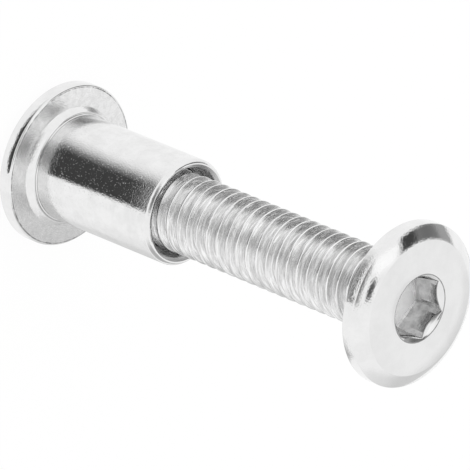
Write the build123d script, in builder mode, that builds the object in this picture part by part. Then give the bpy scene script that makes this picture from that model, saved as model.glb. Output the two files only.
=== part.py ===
from build123d import *
import math
import os

# Binding barrel screw: a flanged barrel nut and a socket screw that runs into it.
# Millimetres, +Z along the common axis, with the nut standing on its head at Z = 0.

os.makedirs("parts", exist_ok=True)

# Thread, shared by both pieces
thread_major = 5.9  # over the crests of an M6 screw
thread_pitch = 1.0
thread_clearance = 0.05  # radial, between the screw's crests and the nut's bore
thread_depth = 0.6134 * thread_pitch
crest_flat = thread_pitch / 8
flank_angle = 30  # each side, in degrees

# Barrel nut
barrel_length = 12.0  # under the head
barrel_wall = 0.6  # at the lead-in, where the barrel is thinnest
lead_in_step = 0.4  # radial, lead-in over bore
lead_in_depth = 1.2
bore_depth = 10.0  # from the mouth
mouth_break = 0.2
collar_step = 0.45  # radial, collar over barrel
collar_height = 0.6
collar_break = 0.15

# Head, the same on both pieces
head_overhang = 2.1  # radial, head over barrel
rim_height = 1.05
rim_break = 0.12
bevel_run = 1.1
bevel_rise = 0.75

# Key socket, the same in both heads
socket_wall = 0.53  # from the socket's corners to the crests
socket_depth = 2.6
socket_bevel = 0.12  # radial, past the corners
floor_drop = 0.3

# Screw
screw_length = 25.0  # under the head
neck_length = 1.6  # plain shank under the head
neck_step = 0.05  # radial, neck over crests
exposed_length = 21.5  # from the nut's mouth to the screw's head

root_radius = thread_major / 2 - thread_depth
ridge_bite = 0.05  # how far the ridge is sunk into the shank
ridge_foot = crest_flat / 2 + (thread_depth + ridge_bite) * math.tan(math.radians(flank_angle))
neck_diameter = thread_major + 2 * neck_step
bore_diameter = thread_major + 2 * thread_clearance
lead_in_diameter = bore_diameter + 2 * lead_in_step
barrel_diameter = lead_in_diameter + 2 * barrel_wall
collar_diameter = barrel_diameter + 2 * collar_step
head_diameter = barrel_diameter + 2 * head_overhang
face_diameter = head_diameter - 2 * bevel_run
head_thickness = rim_height + bevel_rise
socket_corners = thread_major - 2 * socket_wall
key_width = socket_corners * math.cos(math.radians(30))
bevel_diameter = socket_corners + 2 * socket_bevel

mouth_z = head_thickness + barrel_length
seat_z = mouth_z + exposed_length
top_z = seat_z + head_thickness
tip_z = seat_z - screw_length
neck_z = seat_z - neck_length


def round_edges(part, diameter, height):
    """Circular edges of a part at one diameter and height."""
    return part.edges().filter_by(
        lambda edge: edge.geom_type == GeomType.CIRCLE
        and abs(edge.radius - diameter / 2) < 1e-4
        and abs(edge.arc_center.Z - height) < 1e-4
    )


def key_socket(face):
    """Cutter for a bevelled hexagon socket that goes in against the face's normal."""
    with BuildPart() as cutter:
        with BuildSketch(face):
            RegularPolygon(radius=socket_corners / 2, side_count=6)
        extrude(amount=-socket_depth)
        with BuildSketch(face) as mouth:
            Circle(bevel_diameter / 2)
        extrude(amount=-bevel_diameter / 2 + 0.01, taper=45)
        with BuildSketch(face.offset(-socket_depth)) as floor:
            Circle(key_width / 2)
        with BuildSketch(face.offset(-socket_depth - floor_drop)) as floor_end:
            Circle(0.1)
        loft(sections=[floor.sketch, floor_end.sketch])
    return cutter.part


def ridge_turn():
    """One right-hand turn of the thread's ridge, from Z = 0 to one pitch up."""
    with BuildPart() as ridge:
        with BuildLine() as ridge_path:
            Helix(pitch=thread_pitch, height=thread_pitch, radius=root_radius)
        start = Plane(ridge_path.line @ 0, x_dir=(1, 0, 0), z_dir=ridge_path.line % 0)
        with BuildSketch(start) as ridge_section:
            Polygon(
                (-ridge_bite, -ridge_foot),
                (thread_depth, -crest_flat / 2),
                (thread_depth, crest_flat / 2),
                (-ridge_bite, ridge_foot),
                align=None,
            )
        sweep(sections=ridge_section.sketch, path=ridge_path.line, is_frenet=True)
    return ridge.part


# Barrel nut: turned outline with head, collar and barrel
with BuildPart() as barrel_nut:
    with BuildSketch(Plane.XZ) as nut_section:
        with BuildLine() as nut_outline:
            Polyline(
                (0, 0),
                (face_diameter / 2, 0),
                (head_diameter / 2, bevel_rise),
                (head_diameter / 2, head_thickness),
                (collar_diameter / 2, head_thickness),
                (collar_diameter / 2, head_thickness + collar_height),
                (barrel_diameter / 2, head_thickness + collar_height),
                (barrel_diameter / 2, mouth_z),
                (0, mouth_z),
                close=True,
            )
        make_face()
    revolve(axis=Axis.Z)
    chamfer(round_edges(barrel_nut, head_diameter, head_thickness), rim_break)
    chamfer(round_edges(barrel_nut, collar_diameter, head_thickness + collar_height), collar_break)
    chamfer(round_edges(barrel_nut, barrel_diameter, mouth_z), mouth_break)
    with BuildSketch(Plane.XZ) as bore_section:
        with BuildLine() as bore_outline:
            Polyline(
                (0, mouth_z),
                (lead_in_diameter / 2, mouth_z),
                (lead_in_diameter / 2, mouth_z - lead_in_depth),
                (bore_diameter / 2, mouth_z - lead_in_depth - lead_in_step),
                (bore_diameter / 2, mouth_z - bore_depth),
                (0, mouth_z - bore_depth),
                close=True,
            )
        make_face()
    revolve(axis=Axis.Z, mode=Mode.SUBTRACT)
    add(key_socket(Plane.XY.rotated((180, 0, 0))), mode=Mode.SUBTRACT)
barrel_nut.part.label = "barrel_nut"

# Socket screw: turned blank with its shank at the thread's root, then the ridge
with BuildPart() as socket_screw:
    with BuildSketch(Plane.XZ) as screw_section:
        with BuildLine() as screw_outline:
            Polyline(
                (0, tip_z),
                (root_radius, tip_z),
                (root_radius, neck_z),
                (neck_diameter / 2, neck_z + neck_diameter / 2 - root_radius),
                (neck_diameter / 2, seat_z),
                (head_diameter / 2, seat_z),
                (head_diameter / 2, seat_z + rim_height),
                (face_diameter / 2, top_z),
                (0, top_z),
                close=True,
            )
        make_face()
    revolve(axis=Axis.Z)
    chamfer(round_edges(socket_screw, head_diameter, seat_z), rim_break)

    # One turn of ridge, repeated up the shank from below the tip into the neck
    turns = math.ceil((neck_z - tip_z) / thread_pitch) + 1
    with Locations(*[(0, 0, neck_z - (turn + 1) * thread_pitch) for turn in range(-1, turns)]):
        add(ridge_turn())

    # The tip is faced off and bevelled through the ridge
    with BuildSketch(Plane.XZ) as tip_section:
        with BuildLine() as tip_outline:
            Polyline(
                (0, tip_z),
                (root_radius, tip_z),
                (thread_major / 2 + thread_pitch, tip_z + thread_depth + thread_pitch),
                (thread_major / 2 + thread_pitch, tip_z - 3 * thread_pitch),
                (0, tip_z - 3 * thread_pitch),
                close=True,
            )
        make_face()
    revolve(axis=Axis.Z, mode=Mode.SUBTRACT)
    add(key_socket(Plane.XY.offset(top_z)), mode=Mode.SUBTRACT)
socket_screw.part.label = "socket_screw"

export_step(barrel_nut.part, "parts/barrel_nut.step")
export_step(socket_screw.part, "parts/socket_screw.step")
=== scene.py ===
"""Binding barrel screw: smooth pieces over the CAD frame, plated materials, stage, light, camera.

Shapes and places are in millimetres, and turn into metres where a mesh, lamp or camera is made.
The relief of the materials is in metres, as Blender reads it.
"""

import math

import bpy
from mathutils import Matrix, Vector


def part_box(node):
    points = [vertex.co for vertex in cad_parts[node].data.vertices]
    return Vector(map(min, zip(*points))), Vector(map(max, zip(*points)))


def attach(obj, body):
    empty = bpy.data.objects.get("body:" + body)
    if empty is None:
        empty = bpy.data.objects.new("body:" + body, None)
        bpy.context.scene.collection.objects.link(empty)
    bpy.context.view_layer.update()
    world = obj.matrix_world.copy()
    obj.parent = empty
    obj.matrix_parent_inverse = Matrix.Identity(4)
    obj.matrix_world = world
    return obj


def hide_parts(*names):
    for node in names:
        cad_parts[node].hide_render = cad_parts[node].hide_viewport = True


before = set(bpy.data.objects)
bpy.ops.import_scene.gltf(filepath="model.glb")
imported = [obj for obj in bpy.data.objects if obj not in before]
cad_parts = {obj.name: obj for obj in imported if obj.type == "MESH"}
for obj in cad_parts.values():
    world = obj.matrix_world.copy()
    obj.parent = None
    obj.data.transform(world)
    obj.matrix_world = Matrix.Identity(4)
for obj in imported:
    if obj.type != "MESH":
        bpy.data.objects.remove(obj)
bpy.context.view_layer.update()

MM = 0.001
_, nut_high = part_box("barrel_nut")
screw_low, screw_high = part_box("socket_screw")
MOUTH_Z = nut_high.z / MM
TIP_Z = screw_low.z / MM
TOP_Z = screw_high.z / MM
HEAD_R = nut_high.x / MM

# Sizes shared with the CAD source
HEAD_T = 1.8
RIM_H = 1.05
FACE_R = 5.0
COLLAR_R = 4.45
COLLAR_H = 0.6
BARREL_R = 4.0
LEAD_IN_R = 3.4
LEAD_IN_D = 1.2
BORE_R = 3.0
BORE_D = 10.0
SOCKET_R = 2.42
SOCKET_D = 2.6
SOCKET_BEVEL_R = 2.54
FLOOR_DROP = 0.3
THREAD_R = 2.95
THREAD_D = 0.6134
PITCH = 1.0
CREST = 0.125
FLANK_ANGLE = math.radians(30)
NECK_R = 3.0
NECK_L = 1.6

# Sizes of the visual model alone: its roundings, breaks and drafts
BREAK = 0.05
# How far a break on the bevel runs along Z for each step across, and across for each along Z
BEVEL_RISE, BEVEL_RUN = 0.7, 1.5
NUT_RIM_BREAK = 0.19
SCREW_RIM_BREAK = 0.16
# Steps in from the centre of the rim's rounding on the nut's underside: the first ends a band of
# painted shade, and satin follows
RIM_LINE = (0.03, 0.08)
COLLAR_FILLET = 0.06
COLLAR_BREAK = 0.1
COLLAR_DRAFT = 0.22
COLLAR_TURN = (25, 90)
UNDER_HEAD_BREAK = 0.08
UNDER_HEAD_EDGE = 0.2
BORE_BREAK = 0.1
CENTRE_R = 0.2
SOCKET_EDGE = 0.05
SOCKET_FLOOR_RISE = 0.12
SOCKET_FLOOR_BREAK = 0.1
SOCKET_CONE_R = 1.7
SOCKET_CONE_STEP = 0.02
SOCKET_CONE_TIP_R = 0.3
THREAD_SOFT = 0.05
# The mouth's outer edge, as (inward, down) from the barrel, and its countersink, from the lead-in
MOUTH_CHAMFER = [(0.0, 0.33), (0.03, 0.24), (0.19, 0.03), (0.24, 0.0)]
MOUTH_COUNTERSINK = [(0.26, 0.0), (0.02, 0.17), (0.0, 0.22)]

COLLAR_Z = HEAD_T + COLLAR_H
UNDER_HEAD_Z = TOP_Z - HEAD_T
NECK_Z = UNDER_HEAD_Z - NECK_L
ROOT_R = THREAD_R - THREAD_D
NECK_CONE_Z = NECK_Z + NECK_R - ROOT_R
# The neck starts hidden in the thread's root, and its cone has a soft edge
NECK_START = (ROOT_R - 0.15, NECK_Z + 0.1)
NECK_EDGE = [(NECK_R - 0.06, NECK_CONE_Z - 0.04), (NECK_R, NECK_CONE_Z + 0.02)]

SEGMENTS = 192
TURN_STEPS = 96
SHARP_ANGLE = math.radians(28)
# Turns of thread below the tip, where it is cut off. Their fraction sets where the helix starts
TURNS_BELOW_TIP = 1.24
# Bands of the thread's section that are its crest
CREST_BANDS = (4, 5)
HAIR = 0.001


# ---------------------------------------------------------------- mesh helpers


def arc(centre, radius, start, end, steps=6):
    """Points (r, z) on an arc of the half-section, angles in degrees."""
    turns = [math.radians(start + (end - start) * i / steps) for i in range(steps + 1)]
    return [(centre[0] + radius * math.cos(a), centre[1] + radius * math.sin(a)) for a in turns]


def circle_ring(radius, z):
    step = 2 * math.pi / SEGMENTS
    return [
        (radius * math.cos(i * step), radius * math.sin(i * step), z) for i in range(SEGMENTS)
    ]


def add_profile(rings, zones, runs):
    """Adds rings for runs of (zone, [(r, z), ...]). The band up to each point gets the zone."""
    for zone, points in runs:
        for radius, z in points:
            if rings:
                zones.append(zone)
            rings.append(circle_ring(radius, z))


def new_piece(name, points, faces, materials, face_zones):
    """A smooth mesh object. face_zones gives each face's place in materials."""
    mesh = bpy.data.meshes.new(name)
    mesh.from_pydata([tuple(p) for p in points], [], faces)
    mesh.validate()
    for material in materials:
        mesh.materials.append(material)
    mesh.polygons.foreach_set("material_index", face_zones)
    mesh.shade_smooth()
    mesh.set_sharp_from_angle(angle=SHARP_ANGLE)
    mesh.update()
    piece = bpy.data.objects.new(name, mesh)
    bpy.context.scene.collection.objects.link(piece)
    return piece


def rings_to_mesh(name, rings, zones, materials, close_start=False):
    """Skins rings of equally many (x, y, z) points, one zone to a band, and closes the end."""
    count = len(rings[0])
    points = [Vector(p) * MM for ring in rings for p in ring]
    faces, face_zones = [], []
    for i in range(len(rings) - 1):
        for j in range(count):
            a, b = i * count + j, i * count + (j + 1) % count
            faces.append((a, b, b + count, a + count))
            face_zones.append(zones[i])
    if close_start:
        faces.append(tuple(reversed(range(count))))
        face_zones.append(zones[0])
    first = (len(rings) - 1) * count
    faces.append(tuple(range(first, first + count)))
    face_zones.append(zones[-1])
    return new_piece(name, points, faces, materials, face_zones)


def hex_radius(angle):
    """Distance from the centre to a hexagon's side, with a corner on +X."""
    side = math.radians(60)
    return SOCKET_R * math.cos(side / 2) / math.cos(angle % side - side / 2)


def hex_rings(face_z, inward):
    """Rings of the key socket, from its bevel at the face to the cone in its floor.

    inward is +1 or -1, the way along Z that leads into the head.
    """
    step = 2 * math.pi / SEGMENTS
    turns = [i * step for i in range(SEGMENTS)]
    edge = SOCKET_EDGE

    def lip(angle):
        return SOCKET_BEVEL_R - hex_radius(angle)

    def ring(radius_at, depth_at):
        return [
            (
                radius_at(a) * math.cos(a),
                radius_at(a) * math.sin(a),
                face_z + inward * depth_at(a),
            )
            for a in turns
        ]

    return [
        ring(lambda a: SOCKET_BEVEL_R + edge, lambda a: 0.0),
        ring(lambda a: SOCKET_BEVEL_R - edge * 0.5, lambda a: edge * 0.5),
        ring(
            lambda a: hex_radius(a) + min(edge, lip(a) * 0.5),
            lambda a: max(lip(a) - edge, edge * 0.6),
        ),
        ring(hex_radius, lambda a: lip(a) + edge),
        ring(hex_radius, lambda a: SOCKET_D - SOCKET_FLOOR_RISE),
        ring(lambda a: hex_radius(a) - SOCKET_FLOOR_BREAK, lambda a: SOCKET_D),
        ring(lambda a: SOCKET_CONE_R, lambda a: SOCKET_D + SOCKET_CONE_STEP),
        ring(lambda a: SOCKET_CONE_TIP_R, lambda a: SOCKET_D + FLOOR_DROP),
    ]


# ------------------------------------------------------------------- materials

# Turns the seam of the angle round the axis away from the camera's side
SEAM_TURN = math.radians(130)
# Metres of texture to a radian: small, so that marks run far round the axis
MARK_STRETCH = 0.00022
WAVE_SCALE = 1500
PIT_SCALE = 8200
PIT_RANGE = (0.66, 0.72)
BLOTCH_RANGE = (0.36, 0.62)
GLOSS_RANGE = (0.3, 0.7)
ROUGHER, SMOOTHER = 1.25, 0.8


def math_node(tree, operation, first, second):
    """The result of a math node. second is a socket or a number."""
    node = tree.nodes.new("ShaderNodeMath")
    node.operation = operation
    tree.links.new(first, node.inputs[0])
    if isinstance(second, float):
        node.inputs[1].default_value = second
    else:
        tree.links.new(second, node.inputs[1])
    return node.outputs[0]


def around_axis(tree):
    """Coordinates that run round the part's axis, so that noise stretches along turned marks."""
    nodes, links = tree.nodes, tree.links
    turned = nodes.new("ShaderNodeMapping")
    turned.inputs["Rotation"].default_value = (0, 0, SEAM_TURN)
    links.new(nodes.new("ShaderNodeTexCoord").outputs["Object"], turned.inputs["Vector"])
    split = nodes.new("ShaderNodeSeparateXYZ")
    links.new(turned.outputs["Vector"], split.inputs["Vector"])
    angle = math_node(tree, "ARCTAN2", split.outputs["Y"], split.outputs["X"])
    flat = nodes.new("ShaderNodeCombineXYZ")
    links.new(split.outputs["X"], flat.inputs["X"])
    links.new(split.outputs["Y"], flat.inputs["Y"])
    reach = nodes.new("ShaderNodeVectorMath")
    reach.operation = "LENGTH"
    links.new(flat.outputs["Vector"], reach.inputs[0])
    joined = nodes.new("ShaderNodeCombineXYZ")
    links.new(math_node(tree, "MULTIPLY", angle, MARK_STRETCH), joined.inputs["X"])
    links.new(reach.outputs["Value"], joined.inputs["Y"])
    links.new(split.outputs["Z"], joined.inputs["Z"])
    return joined.outputs["Vector"]


def metal(name, light, dark, roughness, grain, patch, turned=False, pits=0, waves=0, metallic=1):
    """Plated metal.

    light and dark are its two greys, and patch is the scale of their blotches. grain is the depth
    and scale of a fine relief, pits the depth of small craters and waves that of an unevenness.
    turned draws the marks out round the axis.
    """
    material = bpy.data.materials.new(name)
    material.use_nodes = True
    tree = material.node_tree
    nodes, links = tree.nodes, tree.links
    shader = nodes["Principled BSDF"]
    shader.inputs["Metallic"].default_value = metallic
    if turned:
        place_in = around_axis(tree)
    else:
        place_in = nodes.new("ShaderNodeTexCoord").outputs["Object"]

    def noise(scale, detail, rough=0.5):
        texture = nodes.new("ShaderNodeTexNoise")
        texture.inputs["Scale"].default_value = scale
        texture.inputs["Detail"].default_value = detail
        texture.inputs["Roughness"].default_value = rough
        links.new(place_in, texture.inputs["Vector"])
        return texture.outputs["Fac"]

    def spread(value, span, to_low, to_high):
        remap = nodes.new("ShaderNodeMapRange")
        remap.inputs["From Min"].default_value = span[0]
        remap.inputs["From Max"].default_value = span[1]
        remap.inputs["To Min"].default_value = to_low
        remap.inputs["To Max"].default_value = to_high
        links.new(value, remap.inputs["Value"])
        return remap.outputs["Result"]

    blotch = noise(patch, detail=5.0, rough=0.65)
    colour = nodes.new("ShaderNodeValToRGB")
    for stop, position, grey in zip(colour.color_ramp.elements, BLOTCH_RANGE, (dark, light)):
        stop.position = position
        stop.color = (grey, grey, grey, 1)
    links.new(blotch, colour.inputs["Fac"])
    links.new(colour.outputs["Color"], shader.inputs["Base Color"])
    gloss = spread(blotch, GLOSS_RANGE, roughness * ROUGHER, roughness * SMOOTHER)
    links.new(gloss, shader.inputs["Roughness"])

    grain_depth, grain_scale = grain
    layers = [(noise(grain_scale, detail=3.0), grain_depth)]
    if waves:
        layers.append((noise(WAVE_SCALE, detail=2.0), waves))
    if pits:
        layers.append((spread(noise(PIT_SCALE, detail=1.0), PIT_RANGE, 1.0, 0.0), pits))
    relief = None
    for height, depth in layers:
        bump = nodes.new("ShaderNodeBump")
        bump.inputs["Strength"].default_value = 1.0
        bump.inputs["Distance"].default_value = depth
        links.new(height, bump.inputs["Height"])
        if relief:
            links.new(relief, bump.inputs["Normal"])
        relief = bump.outputs["Normal"]
    links.new(relief, shader.inputs["Normal"])
    return material


# The socket's floor is paler and less metallic than the plating, a painted light, because it is
# deep and would come out too dark
PLATING = (
    metal("nickel_polished", 0.86, 0.81, 0.06, (7e-6, 7000), 700, waves=5e-6),
    metal("nickel_barrel", 0.87, 0.80, 0.07, (9e-6, 8500), 900, pits=4e-6, waves=5e-6),
    metal("nickel_satin", 0.88, 0.78, 0.17, (22e-6, 9500), 2600),
    metal("nickel_face", 0.82, 0.78, 0.13, (3e-6, 5000), 500, waves=4e-6),
    metal("nickel_bore", 0.78, 0.60, 0.22, (6e-6, 5200), 2600, turned=True),
    # The socket's walls are a darker grey than the plating: painted shade in the recess
    metal("nickel_socket_wall_painted_shade", 0.80, 0.50, 0.14, (4e-6, 3000), 1500, waves=16e-6),
    # Dark grey on the breaks at the socket's edges: painted shade that draws dark lines there
    metal("nickel_socket_edge_painted_shade", 0.40, 0.25, 0.2, (6e-6, 4200), 2600),
    metal("nickel_socket_floor_painted_light", 0.97, 0.90, 0.5, (9e-6, 3600), 2000, metallic=0.15),
    # A darker grey on the step between collar and barrel: painted shade where the two meet
    metal("nickel_shelf_painted_shade", 0.64, 0.52, 0.22, (25e-6, 9000), 1200),
    metal("nickel_neck", 0.90, 0.78, 0.45, (6e-6, 7000), 2600, turned=True),
    # A dark band at the rim of the nut's underside: painted shade that draws a dark line there
    metal("nickel_rim_painted_shade", 0.80, 0.16, 0.2, (9e-6, 6000), 2600),
)
# Zones of a piece, each the place of its material in PLATING
POLISHED, BARREL, SATIN, FACE, BORE, SHADED_WALL = range(6)
SHADED_EDGE, PAINTED_LIGHT_FLOOR, SHADED_SHELF, NECK, RIM_SHADE = range(6, len(PLATING))
# The socket's bands from the face in: painted shade on its edge breaks and walls, painted light on
# its floor
SOCKET_ZONES = [SHADED_EDGE, FACE, SHADED_EDGE, SHADED_WALL, SHADED_WALL, PAINTED_LIGHT_FLOOR, PAINTED_LIGHT_FLOOR]
THREAD_PLATING = (
    metal("nickel_thread", 0.94, 0.60, 0.24, (30e-6, 11000), 6500, turned=True, waves=7e-6),
    metal("nickel_crest", 0.95, 0.80, 0.07, (12e-6, 9000), 3200, turned=True, waves=6e-6),
)


# ------------------------------------------------------------------ barrel nut

nut_rings = list(reversed(hex_rings(0.0, 1)))
nut_zones = list(reversed(SOCKET_ZONES))
mouth_edge = [(BARREL_R - step, MOUTH_Z - drop) for step, drop in MOUTH_CHAMFER]
countersink = [(LEAD_IN_R + step, MOUTH_Z - drop) for step, drop in MOUTH_COUNTERSINK]
nut_bevel_z = HEAD_T - RIM_H
nut_rim = (HEAD_R - NUT_RIM_BREAK, HEAD_T - NUT_RIM_BREAK)
collar_edge = (COLLAR_R - COLLAR_DRAFT - COLLAR_BREAK, COLLAR_Z - COLLAR_BREAK)
add_profile(
    nut_rings,
    nut_zones,
    [
        (FACE, [(FACE_R - BREAK, 0.0)]),
        (POLISHED, [(FACE_R + BREAK * BEVEL_RUN, BREAK)]),
        (POLISHED, [(HEAD_R - BREAK, nut_bevel_z - BREAK * BEVEL_RISE)]),
        (POLISHED, [(HEAD_R, nut_bevel_z + BREAK)]),
        (POLISHED, arc(nut_rim, NUT_RIM_BREAK, 0, 75, steps=5)),
        # The band next to the rim's rounding is painted shade, a dark line along the rim
        (RIM_SHADE, [(nut_rim[0] - RIM_LINE[0], HEAD_T)]),
        (SATIN, [(nut_rim[0] - RIM_LINE[1], HEAD_T), (COLLAR_R + COLLAR_FILLET, HEAD_T)]),
        (SATIN, [(COLLAR_R, HEAD_T + COLLAR_FILLET)]),
        (POLISHED, arc(collar_edge, COLLAR_BREAK, *COLLAR_TURN)),
        # The step between collar and barrel is darkened with painted shade
        (SHADED_SHELF, [(BARREL_R + BREAK, COLLAR_Z)]),
        (POLISHED, [(BARREL_R, COLLAR_Z + BREAK)]),
        (BARREL, mouth_edge[:1]),
        (POLISHED, mouth_edge[1:] + countersink[:1]),
        (BORE, countersink[1:] + [(LEAD_IN_R, MOUTH_Z - LEAD_IN_D)]),
        (BORE, [(BORE_R, MOUTH_Z - LEAD_IN_D - (LEAD_IN_R - BORE_R))]),
        (BORE, [(BORE_R, MOUTH_Z - BORE_D + BORE_BREAK)]),
        (BORE, [(BORE_R - BORE_BREAK, MOUTH_Z - BORE_D), (CENTRE_R, MOUTH_Z - BORE_D)]),
    ],
)
nut = rings_to_mesh("barrel_nut_shell", nut_rings, nut_zones, PLATING, close_start=True)
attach(nut, "nut")
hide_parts("barrel_nut")


# ---------------------------------------------------------------- socket screw


def thread_section():
    """One pitch of the thread as (r, rise) points, from mid root to mid root, crest rounded."""
    crest_half = CREST / 2
    root_half = PITCH / 2 - crest_half - THREAD_D * math.tan(FLANK_ANGLE)
    soft = THREAD_SOFT
    half = [
        (ROOT_R, 0.0),
        (ROOT_R, root_half - soft * 0.6),
        (ROOT_R + soft * 0.9, root_half + soft * 0.5),
        (THREAD_R - soft * 1.6, PITCH / 2 - crest_half - soft * 0.9),
        (THREAD_R - soft * 0.35, PITCH / 2 - crest_half + soft * 0.1),
    ]
    return half + [(THREAD_R, PITCH / 2)] + [(r, PITCH - rise) for r, rise in reversed(half[1:])]


def thread_shell():
    """The threaded shank: a strip one pitch wide, wound up the axis and joined to itself.

    It tapers to the root at the tip, and widens into the neck's cone at the other end.
    """
    section = thread_section()
    width = len(section)
    start_z = NECK_Z - PITCH * (math.ceil((NECK_Z - TIP_Z) / PITCH) + TURNS_BELOW_TIP)
    rows = int((NECK_CONE_Z - start_z) / PITCH * TURN_STEPS) + 1
    points = []
    for i in range(rows):
        turn = 2 * math.pi * i / TURN_STEPS
        for radius, rise in section:
            z = start_z + PITCH * i / TURN_STEPS + rise
            radius = min(radius, ROOT_R + max(z - TIP_Z, 0.0))
            radius = max(radius, ROOT_R + min(max(z - NECK_Z, 0.0), NECK_R - ROOT_R))
            z = min(max(z, TIP_Z), NECK_CONE_Z + 2 * HAIR)
            points.append(Vector((radius * math.cos(turn), radius * math.sin(turn), z)) * MM)

    def index(i, k):
        return i * width + k if k < width else (i + TURN_STEPS) * width

    faces, zones = [], []
    for i in range(rows - 1):
        for k in range(width):
            if k == width - 1 and i + 1 + TURN_STEPS >= rows:
                continue
            faces.append((index(i, k), index(i + 1, k), index(i + 1, k + 1), index(i, k + 1)))
            zones.append(1 if k in CREST_BANDS else 0)
    return new_piece("screw_thread", points, faces, THREAD_PLATING, zones)


thread = thread_shell()

screw_rings, screw_zones = [], []
screw_bevel_z = UNDER_HEAD_Z + RIM_H
screw_rim = (HEAD_R - SCREW_RIM_BREAK, UNDER_HEAD_Z + SCREW_RIM_BREAK)
add_profile(
    screw_rings,
    screw_zones,
    [
        (NECK, [NECK_START] + NECK_EDGE + [(NECK_R, UNDER_HEAD_Z - UNDER_HEAD_BREAK)]),
        (NECK, [(NECK_R + UNDER_HEAD_BREAK, UNDER_HEAD_Z)]),
        (NECK, [(HEAD_R - UNDER_HEAD_EDGE, UNDER_HEAD_Z)]),
        (POLISHED, arc(screw_rim, SCREW_RIM_BREAK, -90, 0)),
        (POLISHED, [(HEAD_R, screw_bevel_z - BREAK)]),
        (POLISHED, [(HEAD_R - BREAK, screw_bevel_z + BREAK * BEVEL_RISE)]),
        (POLISHED, [(FACE_R + BREAK * BEVEL_RUN, TOP_Z - BREAK)]),
        (FACE, [(FACE_R - BREAK, TOP_Z)]),
    ],
)
screw_rings += hex_rings(TOP_Z, -1)
screw_zones += [FACE] + SOCKET_ZONES
screw = rings_to_mesh("screw_body", screw_rings, screw_zones, PLATING)
tip_rings = [circle_ring(ROOT_R, TIP_Z + HAIR), circle_ring(CENTRE_R, TIP_Z)]
tip = rings_to_mesh("screw_tip", tip_rings, [0], THREAD_PLATING[:1])
for piece in (screw, thread, tip):
    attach(piece, "screw")
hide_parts("socket_screw")


# ----------------------------------------------------------------------- stage

FLOOR_HALF = 600
FLOOR_Z = -0.02
FLOOR_WHITE = 0.96
FLOOR_GLOW_SHARE = 0.95
SKY_LIGHT, SKY_SEEN = 0.95, 1.0


def new_tree(material):
    material.use_nodes = True
    tree = material.node_tree
    tree.nodes.clear()
    return tree


def emission(tree, strength):
    glow = tree.nodes.new("ShaderNodeEmission")
    glow.inputs["Color"].default_value = (1, 1, 1, 1)
    glow.inputs["Strength"].default_value = strength
    return glow.outputs[0]


def mixed_surface(tree, share, first, second):
    """Makes the surface of first and second, share being the second's part in it."""
    mix = tree.nodes.new("ShaderNodeMixShader")
    tree.links.new(share, mix.inputs["Fac"])
    tree.links.new(first, mix.inputs[1])
    tree.links.new(second, mix.inputs[2])
    out = tree.nodes.new("ShaderNodeOutputMaterial")
    tree.links.new(mix.outputs[0], out.inputs["Surface"])


def seen_by_shiny_rays(tree):
    """1 for camera, glossy and transmission rays, 0 for the diffuse rays that light the object."""
    path = tree.nodes.new("ShaderNodeLightPath")
    total = path.outputs["Is Camera Ray"]
    for name in ("Is Glossy Ray", "Is Transmission Ray"):
        total = math_node(tree, "MAXIMUM", total, path.outputs[name])
    return total


corners = [(-1, -1), (1, -1), (1, 1), (-1, 1)]
floor_mesh = bpy.data.meshes.new("floor")
floor_mesh.from_pydata(
    [(x * FLOOR_HALF * MM, y * FLOOR_HALF * MM, 0) for x, y in corners], [], [(0, 1, 2, 3)]
)
floor = bpy.data.objects.new("floor", floor_mesh)
bpy.context.scene.collection.objects.link(floor)
floor.location.z = FLOOR_Z * MM
paper = bpy.data.materials.new("white_paper")
tree = new_tree(paper)
matte = tree.nodes.new("ShaderNodeBsdfDiffuse")
matte.inputs["Color"].default_value = (FLOOR_WHITE, FLOOR_WHITE, FLOOR_WHITE, 1)
share = math_node(tree, "MULTIPLY", seen_by_shiny_rays(tree), FLOOR_GLOW_SHARE)
mixed_surface(tree, share, matte.outputs[0], emission(tree, 1.0))
floor_mesh.materials.append(paper)

world = bpy.data.worlds.new("studio")
bpy.context.scene.world = world
world.use_nodes = True
tree = world.node_tree
level = tree.nodes.new("ShaderNodeMapRange")
level.inputs["To Min"].default_value = SKY_LIGHT
level.inputs["To Max"].default_value = SKY_SEEN
tree.links.new(seen_by_shiny_rays(tree), level.inputs["Value"])
background = tree.nodes["Background"]
background.inputs["Color"].default_value = (1, 1, 1, 1)
tree.links.new(level.outputs["Result"], background.inputs["Strength"])


# Cards that show only in reflections give the metal something to reflect. Each stands where the
# surface that it tones reflects to in the main view. The tables hold pairs of a place and a cover,
# which is how solid the card is there, from 0 to 1.

CARD_FLOOR_Z = 0.05
SKY_R = 260.0
PANEL_LEAN = 0.75
DARK = 0.06


def towards(azimuth, elevation, distance):
    a, e = math.radians(azimuth), math.radians(elevation)
    return (
        distance * math.cos(a) * math.cos(e),
        distance * math.sin(a) * math.cos(e),
        distance * math.sin(e),
    )


def card(name, level, columns, rows, place):
    """A card of the given brightness. place gives the point for a column and a row of the table."""
    points = [Vector(place(column, row)) * MM for row, _ in rows for column, _ in columns]
    covers = [row_cover * column_cover for _, row_cover in rows for _, column_cover in columns]
    count = len(columns)
    faces = [
        (i * count + j, i * count + j + 1, (i + 1) * count + j + 1, (i + 1) * count + j)
        for i in range(len(rows) - 1)
        for j in range(count - 1)
    ]
    mesh = bpy.data.meshes.new(name)
    mesh.from_pydata([tuple(p) for p in points], [], faces)
    mesh.attributes.new("cover", "FLOAT", "POINT").data.foreach_set("value", covers)
    material = bpy.data.materials.new(name)
    tree = new_tree(material)
    clear = tree.nodes.new("ShaderNodeBsdfTransparent")
    cover = tree.nodes.new("ShaderNodeAttribute")
    cover.attribute_name = "cover"
    mixed_surface(tree, cover.outputs["Fac"], clear.outputs[0], emission(tree, level))
    mesh.materials.append(material)
    shown = bpy.data.objects.new(name, mesh)
    bpy.context.scene.collection.objects.link(shown)
    shown.visible_camera = False
    shown.visible_diffuse = False
    shown.visible_shadow = False


def on_floor(azimuth, reach):
    return towards(azimuth, 0, reach)[:2] + (CARD_FLOOR_Z,)


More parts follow.
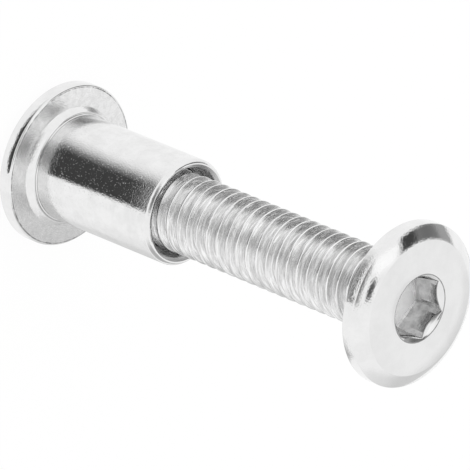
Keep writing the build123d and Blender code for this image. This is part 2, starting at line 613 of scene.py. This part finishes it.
def upright(radius):
    return lambda azimuth, height: towards(azimuth, 0, radius)[:2] + (height,)


def in_sky(azimuth, elevation):
    return towards(azimuth, elevation, SKY_R)


def along_panel(bearing, lift):
    """A point lift degrees across from the bearing (azimuth, elevation) on the high panel."""
    return towards(bearing[0] - lift * PANEL_LEAN, bearing[1] + lift, SKY_R)


# A dark wedge on the floor below the camera, soft at one side, draws the line down the barrel
WEDGE = [(-182, 0.0), (-172, 0.18), (-164, 0.46), (-157, 0.82), (-149, 1.0)]
WEDGE += [(-130, 1.0), (-104.5, 1.0), (-102.5, 0.0)]
WEDGE_REACH = [(8.0, 1.0), (34.0, 1.0), (38.5, 0.5), (42.0, 0.5), (43.0, 1.0), (46.7, 1.0)]
card("floor_flag", 0.055, WEDGE, WEDGE_REACH, on_floor)

# A pale grey one beside it tones the barrel's lower edge
BESIDE = [(-50, 0.0), (-15, 0.6), (30, 1.0), (50, 0.0)]
card("grey_floor_flag", 0.62, BESIDE, [(5.0, 1.0), (34.0, 1.0), (42.0, 0.0)], on_floor)

# A grey card tones the lower bevel and rim, and a little of the nut's satin face
LOWER = [(-35, 0.0), (5, 0.6), (25, 1.0), (45, 0.8), (65, 0.0)]
card("grey_flag", 0.66, LOWER, [(0.1, 1.0), (60, 0.9), (95, 0.0)], upright(100))

# A low one close by tones the lower half of the nut's satin face
NEAR = [(-60, 0.0), (-35, 1.0), (40, 1.0), (48, 0.0)]
card("near_flag", 0.5, NEAR, [(11, 0.0), (13.5, 1.0), (21.5, 1.0), (23, 0.0)], upright(20))

# A dark panel high behind the object shades the upper flanks of the thread and the bevel
PANEL = [
    ((86.0, 12), 0.0),
    ((86.5, 12), 0.62),
    ((96, 21), 0.66),
    ((101, 25), 0.84),
    ((110, 32), 0.89),
    ((119, 39), 0.86),
    ((124, 43), 1.0),
    ((138, 52), 1.0),
    ((142, 55), 0.0),
]
card("high_flag", DARK, PANEL, [(-12, 0.0), (-8, 1.0), (8, 1.0), (12, 0.0)], along_panel)

# A small dark one overhead puts a spot on the bevel and dashes on the thread
SPOT = [(-158, 0.0), (-146, 0.9), (-126, 1.0), (-108, 0.9), (-98, 0.0)]
card("small_flag", DARK, SPOT, [(64, 0.0), (67.5, 1.0), (74, 1.0), (77.5, 0.0)], in_sky)

# The one card that is lighter than the sky brightens the bevel above that spot
GLARE = [(138, 0.0), (146, 0.8), (160, 1.0), (180, 1.0), (196, 0.8), (206, 0.0)]
card("glare", 1.13, GLARE, [(46, 0.0), (52, 1.0), (68, 1.0), (74, 0.0)], in_sky)

# The dark round the camera shows in the nut's satin face, the thread and the edge of the mouth
AROUND_CAMERA = [(-168, 0.0), (-152, 0.8), (-130, 1.0), (-108, 0.8), (-96, 0.0)]
CAMERA_RISE = [(22, 0.0), (32, 1.0), (50, 1.0), (58, 0.0)]
card("camera_flag", 0.18, AROUND_CAMERA, CAMERA_RISE, in_sky)

KEY_SIZE = 380
KEY_POWER = 0.5
KEY_PLACE = towards(170, 62, 510)
KEY_AIM = (0, 0, 20)
key_data = bpy.data.lights.new("key", "AREA")
key_data.shape = "DISK"
key_data.size = KEY_SIZE * MM
key_data.energy = KEY_POWER
key = bpy.data.objects.new("key", key_data)
key.visible_glossy = False
bpy.context.scene.collection.objects.link(key)
key.location = Vector(KEY_PLACE) * MM
key.rotation_euler = (Vector(KEY_AIM) * MM - key.location).to_track_quat("-Z", "Y").to_euler()


# ---------------------------------------------------------------------- camera

# Seen from 50 degrees off the screw's axis, and rolled so that the axis runs down to the right
OFF_AXIS = math.radians(50.0)
ROLL = math.radians(-22.3)
# How the part is turned about its own axis, which shows in the hexagon
CORNER_TURN = math.radians(40.0)
DISTANCE = 823.0
# Where the middle of the mouth stands in the picture, sideways and up, at that distance
AIM = (-3.46, 1.57)
LENS = 877.3
SENSOR = 36
CLIP = (50, 10000)

axis = Vector(
    (
        math.sin(OFF_AXIS) * math.cos(ROLL),
        math.sin(OFF_AXIS) * math.sin(ROLL),
        math.cos(OFF_AXIS),
    )
)
across = axis.cross(Vector((0, 0, 1))).normalized()
along = axis.cross(across)
x_axis = math.cos(CORNER_TURN) * across + math.sin(CORNER_TURN) * along
y_axis = axis.cross(x_axis)
to_camera = Matrix((x_axis, y_axis, axis)).transposed()
mouth_seen = Vector((AIM[0], AIM[1], -DISTANCE))
camera_place = to_camera.transposed() @ -mouth_seen + Vector((0, 0, MOUTH_Z))

camera_data = bpy.data.cameras.new("camera")
camera_data.lens = LENS
camera_data.sensor_width = SENSOR
camera_data.clip_start = CLIP[0] * MM
camera_data.clip_end = CLIP[1] * MM
camera = bpy.data.objects.new("camera", camera_data)
bpy.context.scene.collection.objects.link(camera)
camera.matrix_world = Matrix.Translation(camera_place * MM) @ to_camera.transposed().to_4x4()
bpy.context.scene.camera = camera
bpy.context.scene.view_settings.view_transform = "Standard"
